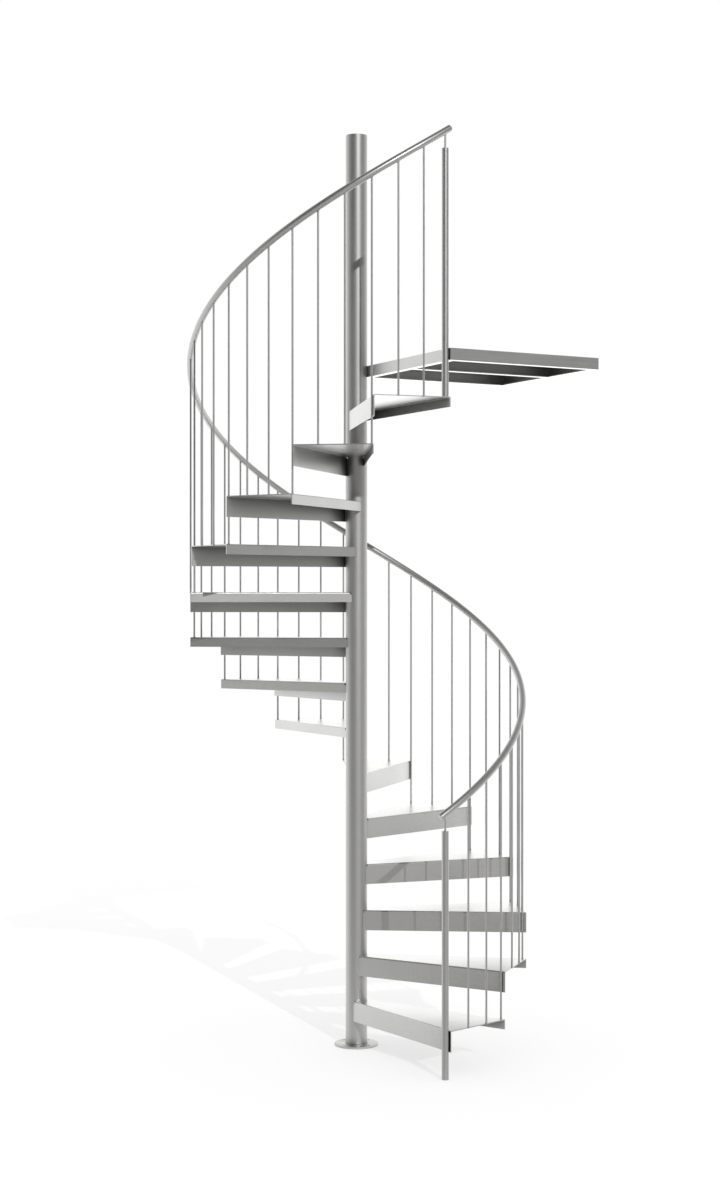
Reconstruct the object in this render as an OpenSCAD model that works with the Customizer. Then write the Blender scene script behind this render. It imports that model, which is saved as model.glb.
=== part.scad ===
// Spiral staircase: folded sheet treads around a central pole, with rods, a rail and a square landing.
// Origin on the floor at the pole's axis. +Z is up, -Y is the side a person walks up to.
// All lengths in mm, all angles in degrees.

/* [Stair] */
// Height from the floor to the landing's top face
storey_height = 2800; // [2600:10:3000]
// Distance from the pole's axis to a tread's straight outer edge
tread_reach = 682; // [640:1:740]
// Direction of the first rod, seen from above
first_rod_angle = -59.4; // [-75:0.1:-45]

/* [Pole and floor plate] */
// Outside diameter of the pole
pole_diameter = 88.9; // [76:0.1:102]
// Wall of the pole's tube
pole_wall = 4; // [2:0.5:6]
// How far the pole and the end posts stand above what they stand beside
post_height = 951; // [900:1:1000]
// Diameter of the floor plate
plate_diameter = 180; // [165:1:220]
// Thickness of the floor plate
plate_thickness = 8; // [5:0.5:12]
// Diameter of the circle of the floor plate's fixing holes
plate_hole_circle = 140; // [130:1:148]
// Diameter of a fixing hole
plate_hole_diameter = 11; // [6:0.5:14]

/* [Treads] */
// Thickness of the folded sheet
sheet = 4; // [2:0.5:5]
// Inside radius of a fold
fold_radius = 1; // [0.5:0.5:4]
// Height of a tread's front fold
front_fold_height = 82; // [60:1:100]
// Height of a tread's back fold
back_fold_height = 40; // [28:1:55]
// Distance from the pole's axis to the line of each fold
edge_offset = 34; // [24:0.5:38]
// Diameter of the relief notch at the pole end of a fold
relief_diameter = 11; // [6:0.5:14]

/* [Railing] */
// Diameter of a rod
rod_diameter = 8; // [6:0.5:10]
// Diameter of an end post
newel_diameter = 26.9; // [22:0.1:32]
// Wall of an end post's tube
newel_wall = 2; // [1:0.5:4]
// Diameter of the pin between an end post and the rail
pin_diameter = 8; // [6:0.5:12]
// Diameter of the handrail
rail_diameter = 26.9; // [22:0.1:36]
// Height of the rail's centre line above the top of an end post
rail_lift = 72; // [45:1:110]
// Length of rail past the axis of each end post
rail_overhang = 22; // [14:1:40]

/* [Landing] */
// How far the landing's outer side stands out past the treads' outer edges
landing_proud = 18; // [0:1:40]
// Length of the landing, away from the stair
landing_length = 687; // [600:1:800]
// Height of the landing's flanges
landing_flange = 46; // [36:1:60]
// Width of the inward lip under each flange
landing_lip = 30; // [14:1:40]

/* [Hidden] */
// Smoothness of round parts
$fn = 64;
// Number of treads, which the node names list
tread_count = 14;
// Treads in a full turn
treads_per_turn = 14;
// Rods to a tread
rods_per_tread = 3;
// Fixing holes in the floor plate
plate_holes = 4;
// Clearance where one welded piece sits against another
weld_gap = 0.2;
// Overrun of every cut
over = 1;
// Sides of the rail's round section
rail_sides = 16;
// Straight lengths of rail to one tread
rail_steps = 6;
// Share of the landing's reach at which the rib stands
rib_share = 0.5;

rise = storey_height / (tread_count + 1);
turn = 360 / treads_per_turn;
rod_turn = turn / rods_per_tread;
pole_radius = pole_diameter / 2;
pole_top = storey_height + post_height;
rod_radius = rod_diameter / 2;
newel_radius = newel_diameter / 2;
pin_radius = pin_diameter / 2;
rail_radius = rail_diameter / 2;
fold_outer = fold_radius + sheet;
relief_radius = relief_diameter / 2;
pole_seat = pole_radius + weld_gap;

// The rods stand on one circle, and the two in the middle of a tread are centred on its outer edge.
half_turn = turn / 2;
rod_ring_radius = tread_reach / cos(rod_turn / 2);
outer_corner = tread_reach / cos(half_turn);

// The front line of a tread passes the axis on the near side and just misses the rod at its corner.
// The back line passes the axis on the far side and ends above the next tread's front corner.
rod_room = rod_radius + weld_gap;
front_lean = asin((edge_offset + rod_room) / rod_ring_radius);
corner_lag = front_lean - asin(edge_offset / outer_corner);
mid_angle = corner_lag + half_turn;
back_lean = turn + corner_lag - asin(edge_offset / outer_corner);
edge_run = sqrt(pow(outer_corner, 2) - pow(edge_offset, 2));
edge_past = edge_run + over;
seat_run = sqrt(pow(pole_seat, 2) - pow(edge_offset, 2));

// The end posts stand a little nearer than the rods, so that the first front fold just misses the lower one.
newel_room = newel_radius + weld_gap;
newel_lag = asin((edge_offset + newel_room) / rod_ring_radius) - front_lean;

// The landing's front line passes the pole on the far side and just misses the upper end post.
landing_lean = asin((edge_offset - newel_room) / rod_ring_radius);
landing_angle = turn * tread_count - newel_lag - landing_lean;
landing_reach = tread_reach + landing_proud;

// The rail climbs one rise for each tread. Its height is taken at the first rod.
rail_height = post_height + rail_lift;
climb = rise / turn;
rail_slope = atan(climb * 180 / PI / rod_ring_radius);
overhang_turn = rail_overhang * 180 / PI / rod_ring_radius;
rail_first = -newel_lag - overhang_turn;
rail_last = turn * tread_count - newel_lag + overhang_turn;
rail_rings = rail_steps * tread_count;

steel = [0.72, 0.72, 0.71];

function rail_z(a) = rail_height + climb * a;

// A point on the rail's skin: a is the angle from the first rod, q the angle round the section.
function rail_point(a, q) = let (
    across = [cos(a), sin(a), 0],
    along = [-sin(a) * cos(rail_slope), cos(a) * cos(rail_slope), sin(rail_slope)],
    upward = cross(across, along))
    [rod_ring_radius * cos(a), rod_ring_radius * sin(a), rail_z(a)]
    + rail_radius * (cos(q) * across + sin(q) * upward);

module base_plate() {
    color(steel)
    difference() {
        cylinder(r = plate_diameter / 2, h = plate_thickness);
        for (i = [0 : plate_holes - 1])
            rotate([0, 0, (i + 0.5) * 360 / plate_holes])
            translate([plate_hole_circle / 2, 0, -over])
            cylinder(r = plate_hole_diameter / 2, h = plate_thickness + 2 * over);
    }
}

module pole() {
    color(steel)
    rotate_extrude()
    polygon([[pole_radius - pole_wall, plate_thickness],
        [pole_radius, plate_thickness], [pole_radius, pole_top],
        [0, pole_top], [0, pole_top - pole_wall], [pole_radius - pole_wall, pole_top - pole_wall]]);
}

// The section of a wedge at a folded edge: x runs inward, y up to the top face at 0. The top corner is round.
module edge_section(inset, radius, depth) {
    difference() {
        translate([inset, -depth])
        square([edge_past, depth - inset]);
        difference() {
            translate([inset - over, -inset - radius])
            square(radius + over);
            translate([inset + radius, -inset - radius])
            circle(r = radius);
        }
    }
}

// That section run along an edge: x runs outward along the edge, y inward from the fold's outer face.
module edge_prism(inset, radius, depth) {
    rotate([90, 0, 90])
    linear_extrude(height = edge_past)
    edge_section(inset, radius, depth);
}

// The wedge between the front and the back line of a tread.
module wedge(inset, radius, depth) {
    intersection() {
        on_front_line() edge_prism(inset, radius, depth);
        on_back_line() edge_prism(inset, radius, depth + over);
    }
}

// Places a fold's frame on the front line of a tread, or on its back line.
module on_front_line() {
    rotate([0, 0, front_lean])
    translate([0, -edge_offset, 0])
    children();
}

module on_back_line() {
    rotate([0, 0, back_lean])
    mirror([0, 1, 0])
    translate([0, -edge_offset, 0])
    children();
}

// The relief notch through the bend where a fold meets the pole, open at the top.
module relief() {
    translate([seat_run + relief_radius / 2, sheet + over, over - relief_radius])
    rotate([90, 0, 0])
    cylinder(r = relief_radius, h = sheet + 2 * over);
}

// One tread with its top face at 0, in the frame where the rod at its front corner lies along X.
module tread_body() {
    difference() {
        wedge(0, fold_outer, front_fold_height);
        // The hollow under the sheet.
        wedge(sheet, fold_radius, front_fold_height + over);
        // The lower edge of the back fold.
        on_back_line()
        translate([-over, -over, -front_fold_height - over])
        cube([edge_past + 2 * over, sheet + 2 * over, front_fold_height + over - back_fold_height]);
        // The straight outer edge.
        rotate([0, 0, mid_angle])
        translate([tread_reach, -tread_reach, -front_fold_height - over])
        cube([tread_reach, 2 * tread_reach, front_fold_height + 2 * over]);
        // The seat on the pole.
        translate([0, 0, -front_fold_height - over])
        cylinder(r = pole_seat, h = front_fold_height + 2 * over);
        on_front_line() relief();
        on_back_line() relief();
        // The half-round seats of the two middle rods.
        for (k = [1 : rods_per_tread - 1])
            rotate([0, 0, k * rod_turn])
            translate([rod_ring_radius, 0, -sheet - over])
            cylinder(r = rod_room, h = sheet + 2 * over);
    }
}

module tread(number) {
    color(steel)
    translate([0, 0, number * rise])
    rotate([0, 0, first_rod_angle + (number - 1) * turn])
    tread_body();
}

// An upright rod from one height to the underside of the rail, hollowed on top to fit it.
module rail_rod(radius, angle, bottom) {
    rotate([0, 0, first_rod_angle + angle])
    translate([rod_ring_radius, 0, 0])
    difference() {
        translate([0, 0, bottom])
        cylinder(r = radius, h = rail_z(angle) - bottom);
        translate([0, 0, rail_z(angle)])
        rotate([rail_slope - 90, 0, 0])
        cylinder(r = rail_radius + weld_gap, h = 2 * rail_diameter, center = true);
    }
}

// The rods of one tread: the middle ones hang in the outer edge, the last one stands on the back corner.
module balusters(number) {
    color(steel)
    for (k = [1 : number < tread_count ? rods_per_tread : rods_per_tread - 1])
        rail_rod(rod_radius, (number - 1) * turn + k * rod_turn,
            number * rise - (k < rods_per_tread ? sheet : 0));
}

// An end post: a tube with a closed top.
module newel(angle, bottom) {
    color(steel)
    rotate([0, 0, first_rod_angle + angle])
    translate([rod_ring_radius, 0, bottom])
    rotate_extrude()
    polygon([[newel_radius - newel_wall, 0], [newel_radius, 0],
        [newel_radius, post_height], [0, post_height],
        [0, post_height - newel_wall], [newel_radius - newel_wall, post_height - newel_wall]]);
}

module newel_lower() {
    newel(-newel_lag, 0);
}

module newel_upper() {
    newel(tread_count * turn - newel_lag, tread_count * rise);
}

module newel_pin_lower() {
    color(steel)
    rail_rod(pin_radius, -newel_lag, post_height);
}

module newel_pin_upper() {
    color(steel)
    rail_rod(pin_radius, tread_count * turn - newel_lag, tread_count * rise + post_height);
}

module handrail() {
    color(steel)
    rotate([0, 0, first_rod_angle])
    polyhedron(
        points = [for (i = [0 : rail_rings], j = [0 : rail_sides - 1])
            rail_point(rail_first + (rail_last - rail_first) * i / rail_rings, j * 360 / rail_sides)],
        faces = concat(
            [[for (j = [0 : rail_sides - 1]) rail_sides - 1 - j]],
            [for (i = [0 : rail_rings - 1], j = [0 : rail_sides - 1])
                [i * rail_sides + j, i * rail_sides + (j + 1) % rail_sides,
                    (i + 1) * rail_sides + (j + 1) % rail_sides]],
            [for (i = [0 : rail_rings - 1], j = [0 : rail_sides - 1])
                [i * rail_sides + j, (i + 1) * rail_sides + (j + 1) % rail_sides,
                    (i + 1) * rail_sides + j]],
            [[for (j = [0 : rail_sides - 1]) rail_rings * rail_sides + j]]));
}

// The landing: a tray with its flat side up, an inward lip under each flange and a rib with its own lip.
module landing() {
    color(steel)
    rotate([0, 0, first_rod_angle + landing_angle])
    translate([0, edge_offset, storey_height - landing_flange])
    difference() {
        union() {
            difference() {
                cube([landing_reach, landing_length, landing_flange]);
                translate([sheet, sheet, sheet])
                cube([landing_reach - 2 * sheet, landing_length - 2 * sheet, landing_flange - 2 * sheet]);
                translate([landing_lip, landing_lip, -over])
                cube([landing_reach - 2 * landing_lip, landing_length - 2 * landing_lip, sheet + 2 * over]);
            }
            translate([landing_reach * rib_share, sheet / 2, 0])
            cube([sheet, landing_length - sheet, landing_flange - sheet / 2]);
            translate([landing_reach * rib_share, sheet / 2, 0])
            cube([landing_lip, landing_length - sheet, sheet]);
        }
        translate([0, -edge_offset, -over])
        cylinder(r = pole_seat, h = landing_flange + 2 * over);
    }
}

base_plate();
pole();
handrail();
landing();
newel_lower();
newel_upper();
newel_pin_lower();
newel_pin_upper();
tread(1);  // tread_01
tread(2);  // tread_02
tread(3);  // tread_03
tread(4);  // tread_04
tread(5);  // tread_05
tread(6);  // tread_06
tread(7);  // tread_07
tread(8);  // tread_08
tread(9);  // tread_09
tread(10);  // tread_10
tread(11);  // tread_11
tread(12);  // tread_12
tread(13);  // tread_13
tread(14);  // tread_14
balusters(1);  // balusters_01
balusters(2);  // balusters_02
balusters(3);  // balusters_03
balusters(4);  // balusters_04
balusters(5);  // balusters_05
balusters(6);  // balusters_06
balusters(7);  // balusters_07
balusters(8);  // balusters_08
balusters(9);  // balusters_09
balusters(10);  // balusters_10
balusters(11);  // balusters_11
balusters(12);  // balusters_12
balusters(13);  // balusters_13
balusters(14);  // balusters_14
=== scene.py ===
"""Spiral staircase of brushed stainless steel, dressed for rendering over its CAD frame.

Metres throughout. The pole's axis is Z and -Y is the side that a person walks up to.
"""
from math import asin, atan, cos, pi, radians, sin, tan

import bmesh
import bpy
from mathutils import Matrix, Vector


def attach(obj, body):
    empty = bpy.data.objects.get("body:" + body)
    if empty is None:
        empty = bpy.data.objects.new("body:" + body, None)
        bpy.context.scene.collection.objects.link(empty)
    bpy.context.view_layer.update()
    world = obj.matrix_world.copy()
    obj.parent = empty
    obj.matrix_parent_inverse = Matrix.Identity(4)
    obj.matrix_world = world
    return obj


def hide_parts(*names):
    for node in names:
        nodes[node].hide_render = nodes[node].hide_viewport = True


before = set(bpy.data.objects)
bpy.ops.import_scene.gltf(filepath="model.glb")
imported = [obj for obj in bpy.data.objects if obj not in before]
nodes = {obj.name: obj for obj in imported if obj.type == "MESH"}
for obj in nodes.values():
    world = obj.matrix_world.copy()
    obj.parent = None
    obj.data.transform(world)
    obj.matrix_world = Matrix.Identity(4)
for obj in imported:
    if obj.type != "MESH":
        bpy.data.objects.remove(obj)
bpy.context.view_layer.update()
scene = bpy.context.scene

# Sizes of the stair, as the part's source has them.
TREADS = 14
RODS_PER_TREAD = 3
RISE = 2.8 / (TREADS + 1)
TURN = radians(360 / TREADS)
ROD_TURN = TURN / RODS_PER_TREAD
FIRST_ROD = radians(-59.4)
TREAD_REACH = 0.682
POLE_RADIUS = 0.08890 / 2
PLATE_THICKNESS = 0.008
SHEET = 0.004
EDGE_OFFSET = 0.034
ROD_RADIUS = 0.004
NEWEL_RADIUS = 0.0269 / 2
POST_HEIGHT = 0.951
RAIL_RADIUS = 0.0269 / 2
RAIL_LIFT = 0.072
RAIL_HEIGHT = POST_HEIGHT + RAIL_LIFT
RAIL_OVERHANG = 0.022
RAIL_RIM = 0.0015
WELD_GAP = 0.0002

# Weld beads: how far a seam under a tread stops short of its folds and lies below the top, then each bead's
# radius and how far its middle stands off the tube or rod that it follows. The last three are a bead's sides,
# the share of its radius where it is thinnest and how much it swells from there.
SEAM_STOP = 0.004
SEAM_DROP = 1.2 * SHEET
SEAM_BEAD = 0.0022
PLATE_BEAD = 0.0018
POLE_STAND = 0.0006
ROD_BEAD = 0.0011
ROD_STAND = 0.0003
POST_BEAD = 0.0014
POST_STAND = 0.0004
BEAD_SIDES = 8
BEAD_LEAST = 0.85
BEAD_SWELL = 0.25

# Finishes: the radius at which a tread's grinding lines have their drawn width, how deep a line is, how far
# from another face the painted corner shade reaches, the share of roughness on level faces, the size of a hand
# mark and the roughness it adds, and how far apart and how deep a bead's ripples are.
STREAK_RADIUS = 0.4
LINE_DEPTH = 0.0004
CORNER_SHADE_REACH = 0.1
LEVEL_ROUGH = 0.7
HAND_MARK = 0.15
HAND_DULL = 0.08
RIPPLE = 0.0015
RIPPLE_DEPTH = 0.0003

# Places that follow from the sizes.
RING = TREAD_REACH / cos(ROD_TURN / 2)
FRONT_LEAN = asin((EDGE_OFFSET + ROD_RADIUS + WELD_GAP) / RING)
OUTER_CORNER = TREAD_REACH / cos(TURN / 2)
BACK_LEAN = TURN + FRONT_LEAN - 2 * asin(EDGE_OFFSET / OUTER_CORNER)
NEWEL_LAG = asin((EDGE_OFFSET + NEWEL_RADIUS + WELD_GAP) / RING) - FRONT_LEAN
LANDING_TURN = FIRST_ROD + TREADS * TURN - NEWEL_LAG - asin((EDGE_OFFSET - NEWEL_RADIUS - WELD_GAP) / RING)
CLIMB = RISE / TURN
RAIL_SLOPE = atan(CLIMB / RING)


def linear(hex_colour):
    """An sRGB hex colour as linear RGBA."""
    parts = [int(hex_colour[i:i + 2], 16) / 255 for i in (1, 3, 5)]
    return [p / 12.92 if p <= 0.04045 else ((p + 0.055) / 1.055) ** 2.4 for p in parts] + [1.0]


def add(tree, kind, inputs=None, **settings):
    """Adds a node with its settings; an input is a value or another node's output socket."""
    node = tree.nodes.new(kind)
    for name, value in settings.items():
        setattr(node, name, value)
    for key, value in (inputs or {}).items():
        if isinstance(value, bpy.types.NodeSocket):
            tree.links.new(value, node.inputs[key])
        else:
            node.inputs[key].default_value = value
    return node


# Materials. Each function for streaks gives a place across the grinding lines and a length along them.


def new_material(name):
    material = bpy.data.materials.new(name)
    material.use_nodes = True
    material.node_tree.nodes.clear()
    return material, material.node_tree


def polar_streaks(tree):
    """Grinding lines that run out from the pole along a tread's top and its folds."""
    place = add(tree, "ShaderNodeTexCoord").outputs["Object"]
    parts = add(tree, "ShaderNodeSeparateXYZ", {0: place})
    flat = add(tree, "ShaderNodeCombineXYZ", {0: parts.outputs[0], 1: parts.outputs[1]})
    run = add(tree, "ShaderNodeVectorMath", {0: flat.outputs[0]}, operation="LENGTH")
    heading = add(tree, "ShaderNodeVectorMath", {0: flat.outputs[0]}, operation="NORMALIZE")
    across = add(tree, "ShaderNodeVectorMath", {0: heading.outputs[0], 1: (STREAK_RADIUS, STREAK_RADIUS, 0.0)},
                 operation="MULTIPLY")
    level = add(tree, "ShaderNodeCombineXYZ", {2: parts.outputs[2]})
    side = add(tree, "ShaderNodeVectorMath", {0: across.outputs[0], 1: level.outputs[0]})
    return side.outputs[0], run.outputs["Value"]


def turned_streaks(turn):
    """Grinding lines along one direction in plan, turned that far from Y."""
    def coordinates(tree):
        place = add(tree, "ShaderNodeTexCoord").outputs["Object"]
        turned = add(tree, "ShaderNodeMapping", {"Vector": place, "Rotation": (0, 0, -turn)})
        parts = add(tree, "ShaderNodeSeparateXYZ", {0: turned.outputs[0]})
        side = add(tree, "ShaderNodeCombineXYZ", {0: parts.outputs[0], 2: parts.outputs[2]})
        return side.outputs[0], parts.outputs[1]
    return coordinates


def level_streaks(tree):
    """Grinding lines round an upright tube: quick change up the tube, slow change round it."""
    place = add(tree, "ShaderNodeTexCoord").outputs["Object"]
    parts = add(tree, "ShaderNodeSeparateXYZ", {0: place})
    level = add(tree, "ShaderNodeCombineXYZ", {2: parts.outputs[2]})
    side = add(tree, "ShaderNodeMath", {0: parts.outputs[0], 1: parts.outputs[1]}, operation="ADD")
    return level.outputs[0], side.outputs[0]


def rail_streaks(tree):
    """Grinding lines round the bent rail, from its own length along the path."""
    run = add(tree, "ShaderNodeAttribute", attribute_name="rail_run").outputs["Fac"]
    level = add(tree, "ShaderNodeCombineXYZ", {2: run})
    place = add(tree, "ShaderNodeTexCoord").outputs["Object"]
    side = add(tree, "ShaderNodeSeparateXYZ", {0: place})
    return level.outputs[0], side.outputs[0]


def brushed_stainless(name, coordinates, tones, rough, line, length, depth, corner_shade=None):
    """Stainless steel ground with a belt: a pale grey mirror blurred by fine lines that lie one way.

    line is the drawn width of a grinding line and length its length, in metres. Real lines are about 0.2 mm
    wide, too fine for the render, so they are drawn wider, most of all on the sheets. rough is the roughness
    between lines and in them, and depth the share of their full depth. The last argument paints shade into the
    colour: it is the share of the steel's brightness left in inner corners, on upright and on level faces.
    """
    material, tree = new_material(name)
    across, along = coordinates(tree)
    scaled = add(tree, "ShaderNodeVectorMath", {0: across, "Scale": 1 / line}, operation="SCALE").outputs[0]
    slow = add(tree, "ShaderNodeMath", {0: along, 1: 1 / length}, operation="MULTIPLY").outputs[0]
    lines = add(tree, "ShaderNodeTexNoise", {"Vector": scaled, "W": slow, "Scale": 1.0, "Detail": 3.0,
                                             "Roughness": 0.65}, noise_dimensions="4D").outputs["Fac"]
    noise_range = {"Value": lines, "From Min": 0.3, "From Max": 0.7}
    cut = add(tree, "ShaderNodeMapRange", noise_range).outputs[0]
    shade = add(tree, "ShaderNodeMix", {"Factor": cut, "A": linear(tones[0]), "B": linear(tones[1])},
                data_type="RGBA").outputs["Result"]
    if corner_shade:
        # Painted shade: the colour darkens in inner corners, much on upright faces and hardly on level ones.
        corner_openness = add(tree, "ShaderNodeAmbientOcclusion", {"Distance": CORNER_SHADE_REACH}, samples=8).outputs["AO"]
        facing = add(tree, "ShaderNodeNewGeometry").outputs["True Normal"]
        upward = add(tree, "ShaderNodeSeparateXYZ", {0: facing}).outputs[2]
        level = add(tree, "ShaderNodeMath", {0: upward}, operation="ABSOLUTE").outputs[0]
        least = add(tree, "ShaderNodeMapRange", {"Value": level, "To Min": corner_shade[0], "To Max": corner_shade[1]})
        painted_shade_share = add(tree, "ShaderNodeMapRange", {"Value": corner_openness, "From Min": 0.4, "From Max": 0.95,
                                                "To Min": least.outputs[0]})
        shade = add(tree, "ShaderNodeVectorMath", {0: shade, "Scale": painted_shade_share.outputs[0]},
                    operation="SCALE").outputs[0]
    grit = add(tree, "ShaderNodeMapRange", noise_range | {"To Min": rough[0], "To Max": rough[1]}).outputs[0]
    # Hand marks dull the shine in soft patches.
    place = add(tree, "ShaderNodeTexCoord").outputs["Object"]
    marks = add(tree, "ShaderNodeTexNoise", {"Vector": place, "Scale": 1 / HAND_MARK,
                                             "Detail": 2.0}).outputs["Fac"]
    dull = add(tree, "ShaderNodeMath", {0: marks, 1: HAND_DULL, 2: grit}, operation="MULTIPLY_ADD").outputs[0]
    if corner_shade:
        # The folds are ground again after bending, so the level faces keep more shine.
        shine = add(tree, "ShaderNodeMapRange", {"Value": level, "To Min": 1.0, "To Max": LEVEL_ROUGH})
        dull = add(tree, "ShaderNodeMath", {0: dull, 1: shine.outputs[0]}, operation="MULTIPLY").outputs[0]
    bump = add(tree, "ShaderNodeBump", {"Height": lines, "Strength": depth, "Distance": LINE_DEPTH}).outputs[0]
    surface = add(tree, "ShaderNodeBsdfPrincipled", {"Base Color": shade, "Metallic": 1.0, "Roughness": dull,
                                                     "Normal": bump})
    add(tree, "ShaderNodeOutputMaterial", {"Surface": surface.outputs[0]})
    return material


def weld_metal(name):
    """A brushed-clean weld bead: rippled stainless steel, a little darker and warmer than the sheet."""
    material, tree = new_material(name)
    place = add(tree, "ShaderNodeTexCoord").outputs["Object"]
    ripple = add(tree, "ShaderNodeTexNoise", {"Vector": place, "Scale": 1 / RIPPLE,
                                              "Detail": 1.0}).outputs["Fac"]
    shade = add(tree, "ShaderNodeMix", {"Factor": ripple, "A": linear("#9C9A96"), "B": linear("#C9C7C2")},
                data_type="RGBA")
    grit = add(tree, "ShaderNodeMath", {0: ripple, 1: 0.2, 2: 0.4}, operation="MULTIPLY_ADD")
    bump = add(tree, "ShaderNodeBump", {"Height": ripple, "Strength": 0.4, "Distance": RIPPLE_DEPTH})
    surface = add(tree, "ShaderNodeBsdfPrincipled", {
        "Base Color": shade.outputs["Result"], "Metallic": 1.0, "Roughness": grit.outputs[0],
        "Normal": bump.outputs[0]})
    add(tree, "ShaderNodeOutputMaterial", {"Surface": surface.outputs[0]})
    return material


SHEET_TONES = ("#C8C8C6", "#DADAD8")
TUBE_TONES = ("#BEBEBD", "#CECECD")
SHEET_LINES = {"rough": (0.34, 0.42), "line": 0.0015, "length": 0.25, "depth": 0.15}
# The treads and the landing get painted shade in their inner corners.
tread_steel = brushed_stainless("brushed_stainless_tread", polar_streaks, SHEET_TONES, corner_shade=(0.12, 1.0),
                                **SHEET_LINES)
landing_steel = brushed_stainless("brushed_stainless_landing", turned_streaks(LANDING_TURN), SHEET_TONES,
                                  corner_shade=(0.4, 0.9), **SHEET_LINES)
tube_steel = brushed_stainless("ground_stainless_tube", level_streaks, TUBE_TONES, rough=(0.34, 0.54),
                               line=0.0006, length=0.05, depth=0.03)
rod_steel = brushed_stainless("ground_stainless_rod", level_streaks, TUBE_TONES, rough=(0.38, 0.44),
                              line=0.0006, length=0.02, depth=0.02)
rail_steel = brushed_stainless("ground_stainless_rail", rail_streaks, TUBE_TONES, rough=(0.32, 0.46),
                               line=0.0006, length=0.05, depth=0.05)
bead_steel = weld_metal("stainless_weld_bead")

for name, piece in nodes.items():
    if name.startswith("tread"):
        finish = tread_steel
    elif name == "landing":
        finish = landing_steel
    elif name.startswith(("balusters", "newel")):
        finish = rod_steel
    else:
        finish = tube_steel
    piece.data.materials.clear()
    piece.data.materials.append(finish)


# Pieces made by Geometry Nodes


def new_tree(name, sizes):
    """A Geometry Nodes tree with named inputs for its sizes; whole numbers become integer inputs."""
    tree = bpy.data.node_groups.new(name, "GeometryNodeTree")
    for label, value in sizes.items():
        kind = "NodeSocketInt" if isinstance(value, int) else "NodeSocketFloat"
        tree.interface.new_socket(label, in_out="INPUT", socket_type=kind)
    tree.interface.new_socket("Geometry", in_out="OUTPUT", socket_type="NodeSocketGeometry")
    return tree, tree.nodes.new("NodeGroupInput").outputs


def finish_tree(tree, geometry, material):
    real = add(tree, "GeometryNodeRealizeInstances", {0: geometry})
    dressed = add(tree, "GeometryNodeSetMaterial", {"Geometry": real.outputs[0], "Material": material})
    add(tree, "NodeGroupOutput", {0: dressed.outputs[0]})


def piece_from(name, tree, sizes):
    """Runs a tree with these sizes and keeps the result as a plain mesh that rides on the stair."""
    mesh = bpy.data.meshes.new(name + "_start")
    maker = bpy.data.objects.new(name + "_maker", mesh)
    scene.collection.objects.link(maker)
    modifier = maker.modifiers.new(name, "NODES")
    modifier.node_group = tree
    for item in tree.interface.items_tree:
        if item.in_out == "INPUT":
            modifier[item.identifier] = sizes.get(item.name, 0.0)
    graph = bpy.context.evaluated_depsgraph_get()
    made = bpy.data.meshes.new_from_object(maker.evaluated_get(graph), depsgraph=graph)
    made.name = name
    bpy.data.objects.remove(maker)
    piece = bpy.data.objects.new(name, made)
    scene.collection.objects.link(piece)
    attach(piece, "root")
    return piece


def round_the_pole(tree, radius, heading, height):
    """A place at that distance from the pole's axis, in that heading and at that height."""
    arm = add(tree, "ShaderNodeCombineXYZ", {0: radius, 2: height}).outputs[0]
    turned = add(tree, "ShaderNodeVectorRotate", {"Vector": arm, "Angle": heading}, rotation_type="Z_AXIS")
    return turned.outputs[0]


def handrail():
    """The rail: a round tube swept along a helix, with flat ends."""
    sizes = {"Ring Radius": RING, "Tube Radius": RAIL_RADIUS, "Height": RAIL_HEIGHT, "Climb": CLIMB,
             "First Rod": FIRST_ROD, "From": -NEWEL_LAG - RAIL_OVERHANG / RING,
             "To": TREADS * TURN - NEWEL_LAG + RAIL_OVERHANG / RING, "Path Points": 420, "Sides": 32}
    tree, size = new_tree("Handrail Sweep", sizes)
    line = add(tree, "GeometryNodeCurvePrimitiveLine")
    path = add(tree, "GeometryNodeResampleCurve", {"Curve": line.outputs[0], "Count": size["Path Points"]})
    share = add(tree, "GeometryNodeSplineParameter").outputs["Factor"]
    angle = add(tree, "ShaderNodeMapRange", {"Value": share, "To Min": size["From"],
                                             "To Max": size["To"]}).outputs[0]
    heading = add(tree, "ShaderNodeMath", {0: angle, 1: size["First Rod"]}, operation="ADD").outputs[0]
    height = add(tree, "ShaderNodeMath", {0: angle, 1: size["Climb"], 2: size["Height"]},
                 operation="MULTIPLY_ADD").outputs[0]
    place = round_the_pole(tree, size["Ring Radius"], heading, height)
    helix = add(tree, "GeometryNodeSetPosition", {"Geometry": path.outputs[0], "Position": place})
    run = add(tree, "GeometryNodeSplineParameter").outputs["Length"]
    marked = add(tree, "GeometryNodeStoreNamedAttribute", {"Geometry": helix.outputs[0], "Name": "rail_run",
                                                           "Value": run}, domain="POINT")
    ring = add(tree, "GeometryNodeCurvePrimitiveCircle", {"Resolution": size["Sides"],
                                                          "Radius": size["Tube Radius"]})
    tube = add(tree, "GeometryNodeCurveToMesh", {"Curve": marked.outputs[0], "Profile Curve": ring.outputs[0],
                                                 "Fill Caps": True})
    finish_tree(tree, tube.outputs[0], rail_steel)
    piece = piece_from("handrail_tube", tree, sizes)
    mesh = bmesh.new()
    mesh.from_mesh(piece.data)
    caps = [f for f in mesh.faces if len(f.verts) > 4]
    rims = [e for f in caps for e in f.edges]
    bmesh.ops.bevel(mesh, geom=rims, offset=RAIL_RIM, segments=3, affect="EDGES", profile=0.5)
    bmesh.ops.recalc_face_normals(mesh, faces=mesh.faces)
    for face in mesh.faces:
        face.smooth = len(face.verts) <= 4
    mesh.to_mesh(piece.data)
    mesh.free()
    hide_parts("handrail")


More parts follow.
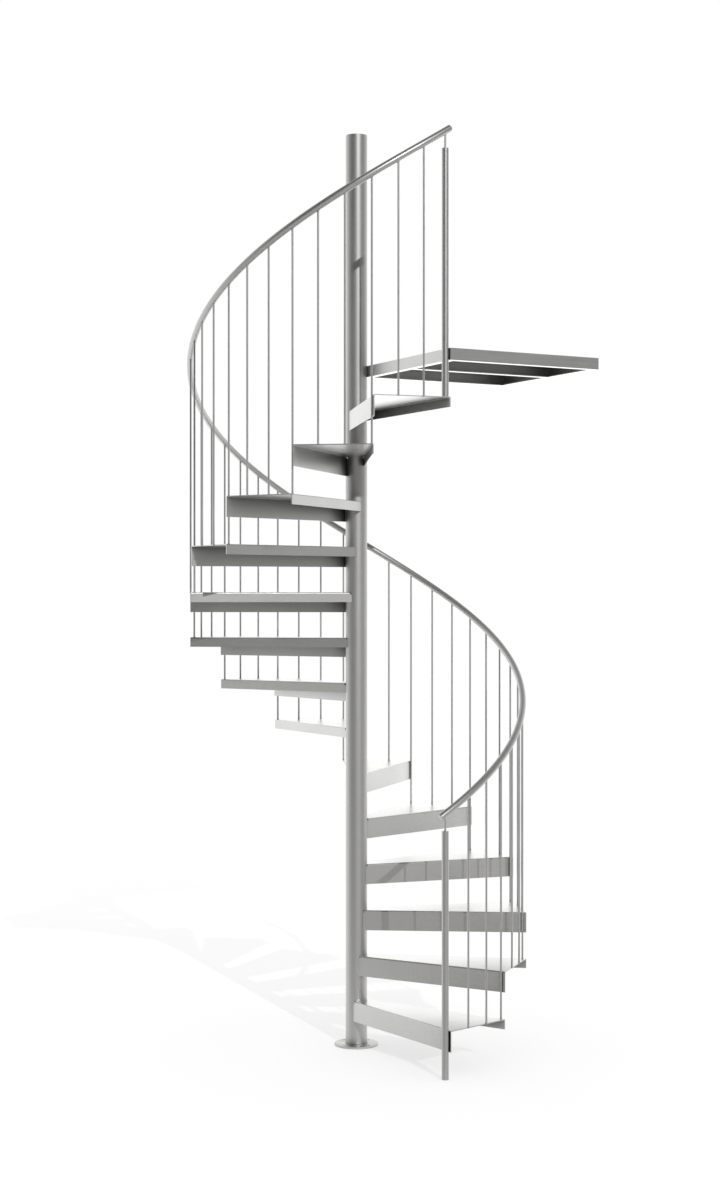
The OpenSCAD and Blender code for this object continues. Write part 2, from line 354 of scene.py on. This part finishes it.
def helix_copies(tree, size, bead):
    """Copies of a bead on points that climb round the pole, each turned to face out from it."""
    index = add(tree, "GeometryNodeInputIndex").outputs[0]
    heading = add(tree, "ShaderNodeMath", {0: index, 1: size["Angle Step"], 2: size["First Angle"]},
                  operation="MULTIPLY_ADD").outputs[0]
    height = add(tree, "ShaderNodeMath", {0: index, 1: size["Height Step"], 2: size["First Height"]},
                 operation="MULTIPLY_ADD").outputs[0]
    place = round_the_pole(tree, size["Ring Radius"], heading, height)
    points = add(tree, "GeometryNodeMeshLine", {"Count": size["Copies"]})
    spots = add(tree, "GeometryNodeSetPosition", {"Geometry": points.outputs[0], "Position": place})
    turn = add(tree, "ShaderNodeCombineXYZ", {2: heading})
    return add(tree, "GeometryNodeInstanceOnPoints", {"Points": spots.outputs[0], "Instance": bead,
                                                      "Rotation": turn.outputs[0]}).outputs[0]


def rippled_tube(tree, path, thickness):
    """A weld bead along a path: a thin tube that swells at every other point, as the pool was fed."""
    index = add(tree, "GeometryNodeInputIndex").outputs[0]
    beat = add(tree, "ShaderNodeMath", {0: index, 1: 2.0}, operation="MODULO").outputs[0]
    swell = add(tree, "ShaderNodeMath", {0: beat, 1: BEAD_SWELL, 2: BEAD_LEAST},
                operation="MULTIPLY_ADD").outputs[0]
    ring = add(tree, "GeometryNodeCurvePrimitiveCircle", {"Resolution": BEAD_SIDES, "Radius": thickness})
    tube = add(tree, "GeometryNodeCurveToMesh", {"Curve": path, "Profile Curve": ring.outputs[0],
                                                 "Scale": swell, "Fill Caps": True})
    return add(tree, "GeometryNodeSetShadeSmooth", {"Geometry": tube.outputs[0]}).outputs[0]


COPIES = {"Copies": 1, "First Angle": 0.0, "Angle Step": 0.0, "First Height": 0.0, "Height Step": 0.0,
          "Ring Radius": 0.0}


def arc_bead_tree():
    """Weld beads along flat arcs."""
    tree, size = new_tree("Arc Beads", COPIES | {"Arc Radius": 0.0, "From": 0.0, "To": 0.0, "Bead": 0.0,
                                                 "Points": 2})
    line = add(tree, "GeometryNodeCurvePrimitiveLine")
    path = add(tree, "GeometryNodeResampleCurve", {"Curve": line.outputs[0], "Count": size["Points"]})
    share = add(tree, "GeometryNodeSplineParameter").outputs["Factor"]
    angle = add(tree, "ShaderNodeMapRange", {"Value": share, "To Min": size["From"],
                                             "To Max": size["To"]}).outputs[0]
    place = round_the_pole(tree, size["Arc Radius"], angle, 0.0)
    arc = add(tree, "GeometryNodeSetPosition", {"Geometry": path.outputs[0], "Position": place})
    bead = rippled_tube(tree, arc.outputs[0], size["Bead"])
    finish_tree(tree, helix_copies(tree, size, bead), bead_steel)
    return tree


def saddle_bead_tree():
    """Weld beads round rods that end on the underside of the sloping rail."""
    tree, size = new_tree("Saddle Beads", COPIES | {"Rod Radius": 0.0, "Rail Radius": 0.0, "Slope": 0.0,
                                                    "Bead": 0.0})
    ring = add(tree, "GeometryNodeCurvePrimitiveCircle", {"Resolution": 20, "Radius": size["Rod Radius"]})
    spot = add(tree, "ShaderNodeSeparateXYZ", {0: add(tree, "GeometryNodeInputPosition").outputs[0]})
    # The rail's underside over a point of the rod's rim, in a frame where Y runs up along the rail.
    wide = add(tree, "ShaderNodeMath", {0: size["Rail Radius"], 1: size["Rail Radius"]}, operation="MULTIPLY")
    near = add(tree, "ShaderNodeMath", {0: spot.outputs[0], 1: spot.outputs[0]}, operation="MULTIPLY")
    painted_shade_share = add(tree, "ShaderNodeMath", {0: wide.outputs[0], 1: near.outputs[0]}, operation="SUBTRACT")
    sag = add(tree, "ShaderNodeMath", {0: painted_shade_share.outputs[0]}, operation="SQRT").outputs[0]
    sine = add(tree, "ShaderNodeMath", {0: size["Slope"]}, operation="SINE").outputs[0]
    cosine = add(tree, "ShaderNodeMath", {0: size["Slope"]}, operation="COSINE").outputs[0]
    lean = add(tree, "ShaderNodeMath", {0: spot.outputs[1], 1: sine}, operation="MULTIPLY").outputs[0]
    drop = add(tree, "ShaderNodeMath", {0: lean, 1: sag}, operation="SUBTRACT").outputs[0]
    height = add(tree, "ShaderNodeMath", {0: drop, 1: cosine}, operation="DIVIDE").outputs[0]
    place = add(tree, "ShaderNodeCombineXYZ", {0: spot.outputs[0], 1: spot.outputs[1], 2: height})
    saddle = add(tree, "GeometryNodeSetPosition", {"Geometry": ring.outputs[0], "Position": place.outputs[0]})
    bead = rippled_tube(tree, saddle.outputs[0], size["Bead"])
    finish_tree(tree, helix_copies(tree, size, bead), bead_steel)
    return tree


def weld_beads():
    arcs, saddles = arc_bead_tree(), saddle_bead_tree()
    # Under each tread, along the pole, stopping just short of the two folds.
    reach = asin((EDGE_OFFSET - SHEET - SEAM_STOP) / POLE_RADIUS)
    climbing = {"Copies": TREADS, "First Angle": FIRST_ROD, "Angle Step": TURN, "Height Step": RISE}
    piece_from("tread_seams", arcs, climbing | {
        "First Height": RISE - SEAM_DROP, "Arc Radius": POLE_RADIUS + POLE_STAND, "From": FRONT_LEAN - reach,
        "To": BACK_LEAN + reach, "Bead": SEAM_BEAD, "Points": 60})
    # Round the pole's foot, on the floor plate.
    piece_from("plate_seam", arcs, {
        "Copies": 1, "First Height": PLATE_THICKNESS, "Arc Radius": POLE_RADIUS + POLE_STAND, "To": 2 * pi,
        "Bead": PLATE_BEAD, "Points": 150})
    # Round the foot of each rod that stands on a tread's back corner.
    foot = {"Ring Radius": RING, "First Height": RISE, "Arc Radius": ROD_RADIUS + ROD_STAND, "Bead": ROD_BEAD,
            "Points": 17}
    piece_from("corner_rod_feet", arcs, climbing | foot | {
        "Copies": TREADS - 1, "First Angle": FIRST_ROD + TURN, "To": 2 * pi})
    # Half round each rod that hangs in a tread's outer edge, on the side of the pole.
    for name, place in (("first_rod_seats", 1), ("second_rod_seats", 2)):
        piece_from(name, arcs, climbing | foot | {
            "First Angle": FIRST_ROD + place * ROD_TURN, "From": 0.5 * pi, "To": 1.5 * pi})
    # Round the pins on the end posts, and round the foot of the upper post.
    ends = {"Copies": 2, "First Angle": FIRST_ROD - NEWEL_LAG, "Angle Step": TREADS * TURN,
            "Height Step": TREADS * RISE, "Ring Radius": RING}
    piece_from("pin_feet", arcs, ends | {
        "First Height": POST_HEIGHT, "Arc Radius": ROD_RADIUS + ROD_STAND, "To": 2 * pi, "Bead": ROD_BEAD,
        "Points": 17})
    piece_from("upper_post_foot", arcs, ends | {
        "Copies": 1, "First Height": TREADS * RISE, "Arc Radius": NEWEL_RADIUS + POST_STAND, "From": 0.5 * pi,
        "To": 1.5 * pi, "Bead": POST_BEAD, "Points": 33})
    # Where rods and pins end on the rail.
    saddle = {"Ring Radius": RING, "Rod Radius": ROD_RADIUS + ROD_STAND, "Rail Radius": RAIL_RADIUS,
              "Slope": RAIL_SLOPE, "Bead": ROD_BEAD}
    piece_from("rod_tops", saddles, saddle | {
        "Copies": TREADS * RODS_PER_TREAD - 1, "First Angle": FIRST_ROD + ROD_TURN, "Angle Step": ROD_TURN,
        "First Height": RAIL_HEIGHT + CLIMB * ROD_TURN, "Height Step": CLIMB * ROD_TURN})
    piece_from("pin_tops", saddles, ends | saddle | {
        "First Height": RAIL_HEIGHT - CLIMB * NEWEL_LAG})


handrail()
weld_beads()


# Camera, floor and light

camera = bpy.data.objects.new("camera", bpy.data.cameras.new("camera"))
scene.collection.objects.link(camera)
camera.location = (0.0, -8.116, 1.8353)
camera.rotation_euler = (radians(90), 0, 0)
camera.data.sensor_fit = "VERTICAL"
camera.data.sensor_height = 36
camera.data.lens = 58.97
camera.data.shift_x = 0.0030
camera.data.clip_end = 200
scene.camera = camera


def stage_piece(name, shape, material, shown):
    """A piece of the studio, not of the stair; one that isn't shown is seen by the metal alone."""
    mesh = bpy.data.meshes.new(name)
    shape.to_mesh(mesh)
    shape.free()
    mesh.materials.append(material)
    piece = bpy.data.objects.new(name, mesh)
    scene.collection.objects.link(piece)
    piece.visible_camera = shown
    piece.visible_diffuse = shown
    piece.visible_shadow = shown
    return piece


def softbox(name, azimuth, distance, height, width, tall, brightness):
    """A flat lamp that faces the pole; azimuth 0 is the walking-up side, and a brightness of 1 is white."""
    lamp = bpy.data.lights.new(name, "AREA")
    lamp.shape = "RECTANGLE"
    lamp.size = width
    lamp.size_y = tall
    lamp.energy = WHITE_LAMP * brightness * width * tall
    box = bpy.data.objects.new(name, lamp)
    scene.collection.objects.link(box)
    outward = Vector((sin(azimuth), -cos(azimuth), 0.0))
    box.location = outward * distance + Vector((0.0, 0.0, height))
    box.rotation_euler = outward.to_track_quat("Z", "Y").to_euler()
    box.visible_camera = False


# Studio: radii of its round pieces, heights of the floor and its cloth, the way in plan to the white side, and
# the watts per square metre that make a lamp look white.
FLOOR_RADIUS = 60
CLOTH_RADIUS = 30
CURTAIN_RADIUS = 40
FLOOR_LEVEL = -0.0005
CLOTH_LEVEL = -0.0002
WHITE_SIDE = (-0.1, 1.0, 0.0)
WHITE_LAMP = 4

# White studio floor: paint that glows, so that it stays white and keeps a faint shadow near the stair.
material, tree = new_material("white_studio_floor")
distance = add(tree, "ShaderNodeVectorMath", {0: add(tree, "ShaderNodeTexCoord").outputs["Object"]},
               operation="LENGTH").outputs["Value"]
share = add(tree, "ShaderNodeMapRange", {"Value": distance, "From Min": 2.0, "From Max": 6.0, "To Min": 0.58,
                                         "To Max": 1.0}, interpolation_type="SMOOTHSTEP").outputs[0]
paint = add(tree, "ShaderNodeBsdfDiffuse", {"Color": linear("#EEEEEE")})
glow = add(tree, "ShaderNodeEmission", {"Color": linear("#FFFFFF"), "Strength": 1.0})
mixed = add(tree, "ShaderNodeMixShader", {0: share, 1: paint.outputs[0], 2: glow.outputs[0]})
add(tree, "ShaderNodeOutputMaterial", {"Surface": mixed.outputs[0]})
shape = bmesh.new()
bmesh.ops.create_circle(shape, cap_ends=True, radius=FLOOR_RADIUS, segments=96)
stage_piece("floor", shape, material, shown=True).location.z = FLOOR_LEVEL

# Grey cloth on the floor of the walking-up side, so that the steel there mirrors a dim floor. It turns white
# further back, and is lightest straight behind, for the undersides.
material, tree = new_material("grey_floor_cloth")
place = add(tree, "ShaderNodeTexCoord").outputs["Object"]
away = add(tree, "ShaderNodeVectorMath", {0: place, 1: WHITE_SIDE}, operation="DOT_PRODUCT").outputs["Value"]
fade = add(tree, "ShaderNodeMapRange", {"Value": away, "From Min": -1.4, "From Max": 1.0},
           interpolation_type="SMOOTHSTEP").outputs[0]
heading = add(tree, "ShaderNodeVectorMath", {0: place}, operation="NORMALIZE").outputs[0]
behind = add(tree, "ShaderNodeSeparateXYZ", {0: heading}).outputs[1]
glare = add(tree, "ShaderNodeMapRange", {"Value": behind, "From Min": 0.7, "From Max": 0.95, "To Min": 1.15,
                                         "To Max": 1.6}, interpolation_type="SMOOTHSTEP").outputs[0]
tone = add(tree, "ShaderNodeMix", {"Factor": fade, "A": linear("#B4B3B1"), "B": linear("#FFFFFF")},
           data_type="RGBA")
cloth = add(tree, "ShaderNodeEmission", {"Color": tone.outputs["Result"], "Strength": glare})
add(tree, "ShaderNodeOutputMaterial", {"Surface": cloth.outputs[0]})
shape = bmesh.new()
bmesh.ops.create_circle(shape, cap_ends=True, radius=CLOTH_RADIUS, segments=96)
stage_piece("floor_cloth", shape, material, shown=False).location.z = CLOTH_LEVEL

# Dark curtain round the walking-up side under a dim ceiling, so that folds facing that way come out darker. It
# is white on the far side.
material, tree = new_material("grey_studio_curtain")
heading = add(tree, "ShaderNodeVectorMath", {0: add(tree, "ShaderNodeTexCoord").outputs["Object"]},
              operation="NORMALIZE").outputs[0]
away = add(tree, "ShaderNodeVectorMath", {0: heading, 1: WHITE_SIDE}, operation="DOT_PRODUCT").outputs["Value"]
fade = add(tree, "ShaderNodeMapRange", {"Value": away, "From Min": -0.65, "From Max": 0.65},
           interpolation_type="SMOOTHSTEP").outputs[0]
tone = add(tree, "ShaderNodeMix", {"Factor": fade, "A": linear("#2C2C2B"), "B": linear("#FFFFFF")},
           data_type="RGBA")
upward = add(tree, "ShaderNodeSeparateXYZ", {0: heading}).outputs[2]
ceiling = add(tree, "ShaderNodeMapRange", {"Value": upward, "From Min": 0.55, "From Max": 0.9, "To Min": 1.0,
                                           "To Max": 0.45}, interpolation_type="SMOOTHSTEP").outputs[0]
cloth = add(tree, "ShaderNodeEmission", {"Color": tone.outputs["Result"], "Strength": ceiling})
add(tree, "ShaderNodeOutputMaterial", {"Surface": cloth.outputs[0]})
shape = bmesh.new()
bmesh.ops.create_uvsphere(shape, u_segments=64, v_segments=32, radius=CURTAIN_RADIUS)
stage_piece("curtain", shape, material, shown=False)

# White room behind it all. The curtain stands in front of most of it, so it isn't sampled as a lamp.
world = bpy.data.worlds.new("studio")
scene.world = world
world.use_nodes = True
world.cycles.sampling_method = "NONE"
tree = world.node_tree
tree.nodes.clear()
back = add(tree, "ShaderNodeBackground", {"Color": linear("#FFFFFF"), "Strength": 1.0})
add(tree, "ShaderNodeOutputWorld", {"Surface": back.outputs[0]})

# Soft lamps: a wide one behind the stair that brightens the tops of the treads, a weak one at the front right.
softbox("back_softbox", azimuth=radians(190), distance=10.0, height=3.5, width=24.0, tall=8.0, brightness=0.35)
softbox("front_softbox", azimuth=radians(48), distance=9.0, height=2.0, width=7.0, tall=5.0, brightness=0.16)

# Key light from the front right, as small as the sun, so that rods cast thin shadows on the folds.
KEY_AZIMUTH = radians(22)
KEY_ELEVATION = radians(28.7)
key = bpy.data.objects.new("key", bpy.data.lights.new("key", "SUN"))
scene.collection.objects.link(key)
key.data.energy = 1.3
key.data.angle = radians(0.53)
aim = Vector((sin(KEY_AZIMUTH), -cos(KEY_AZIMUTH), tan(KEY_ELEVATION)))
key.rotation_euler = aim.to_track_quat("Z", "Y").to_euler()

scene.view_settings.view_transform = "Standard"
